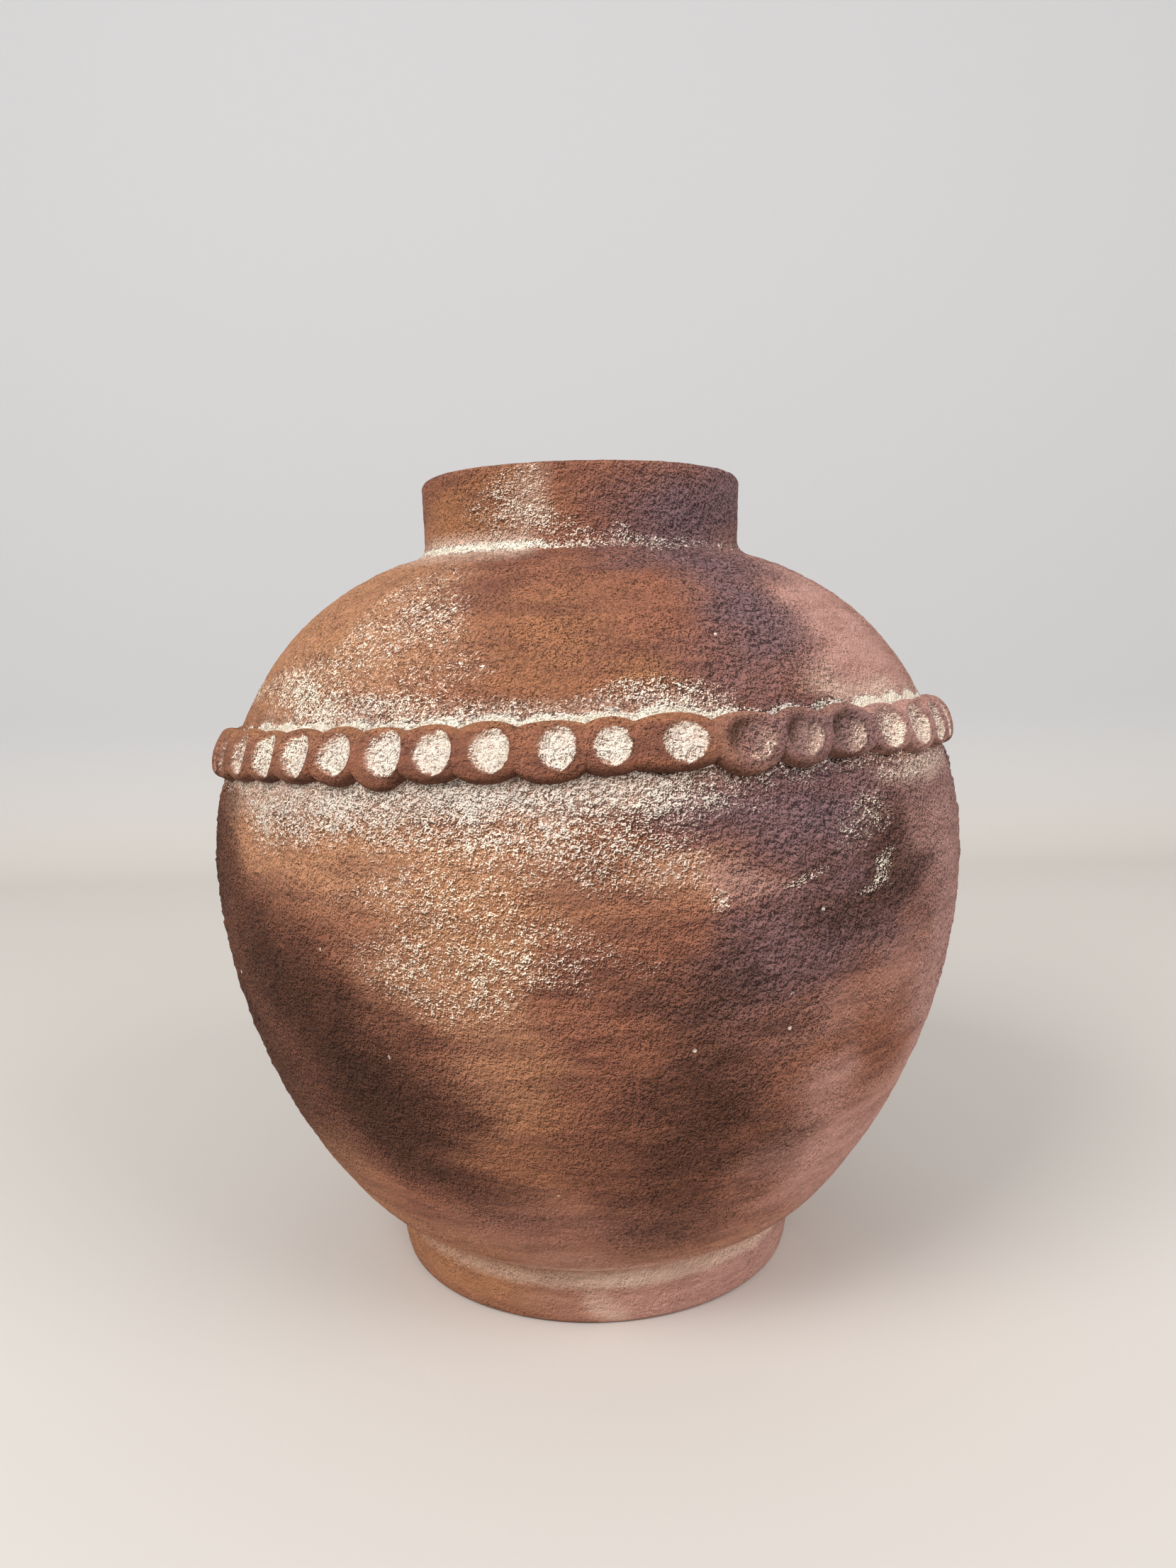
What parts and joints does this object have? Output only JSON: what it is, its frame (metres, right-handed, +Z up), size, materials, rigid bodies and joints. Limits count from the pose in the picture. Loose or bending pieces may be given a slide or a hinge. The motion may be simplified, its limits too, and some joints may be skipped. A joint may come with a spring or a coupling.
{
  "type": "pithos storage jar",
  "caption": "Wide-bellied fired-clay storage jar with a short upright neck, a low foot ring and a belt of finger-pressed clay pads round the shoulder.",
  "frame": {"origin": "centre of the foot ring's underside, on the ground under the jar's axis", "axes": "+Z up along the jar's axis and out of its mouth; -Y towards the side that the picture shows; +X to the right in that view"},
  "size_m": [0.3496, 0.3504, 0.37],
  "materials": {
    "wall_clay": "matte gritty fired clay with soot clouds and lime residue",
    "foot_clay": "matte fired clay, wiped smooth",
    "pad_clay": "matte fired clay with lime in the finger marks"
  },
  "bodies": {
    "root": {"finger_pad_01": "pad_clay", "finger_pad_02": "pad_clay", "finger_pad_03": "pad_clay", "finger_pad_04": "pad_clay", "finger_pad_05": "pad_clay", "finger_pad_06": "pad_clay", "finger_pad_07": "pad_clay", "finger_pad_08": "pad_clay", "finger_pad_09": "pad_clay", "finger_pad_10": "pad_clay", "finger_pad_11": "pad_clay", "finger_pad_12": "pad_clay", "finger_pad_13": "pad_clay", "finger_pad_14": "pad_clay", "finger_pad_15": "pad_clay", "finger_pad_16": "pad_clay", "finger_pad_17": "pad_clay", "finger_pad_18": "pad_clay", "finger_pad_19": "pad_clay", "finger_pad_20": "pad_clay", "finger_pad_21": "pad_clay", "finger_pad_22": "pad_clay", "finger_pad_23": "pad_clay", "finger_pad_24": "pad_clay", "finger_pad_25": "pad_clay", "finger_pad_26": "pad_clay", "finger_pad_27": "pad_clay", "finger_pad_28": "pad_clay", "finger_pad_29": "pad_clay", "finger_pad_30": "pad_clay", "finger_pad_31": "pad_clay", "finger_pad_32": "pad_clay", "finger_pad_33": "pad_clay", "finger_pad_34": "pad_clay", "finger_pad_35": "pad_clay", "finger_pad_36": "pad_clay", "finger_pad_37": "pad_clay", "finger_pad_38": "pad_clay", "finger_pad_39": "pad_clay", "finger_pad_40": "pad_clay", "finger_pad_41": "pad_clay", "finger_pad_42": "pad_clay", "finger_pad_43": "pad_clay", "finger_pad_44": "pad_clay", "finger_pad_45": "pad_clay", "finger_pad_46": "pad_clay", "finger_pad_47": "pad_clay", "finger_pad_48": "pad_clay", "finger_pad_49": "pad_clay", "finger_pad_50": "pad_clay", "floor_disc": "foot_clay", "foot_ring": "foot_clay", "neck_collar": "wall_clay", "wall_course_1": "wall_clay", "wall_course_2": "wall_clay", "wall_course_3": "wall_clay", "wall_course_4": "wall_clay", "wall_course_5": "wall_clay", "wall_course_6": "wall_clay", "wall_course_7": "wall_clay"}
  },
  "joints": []
}
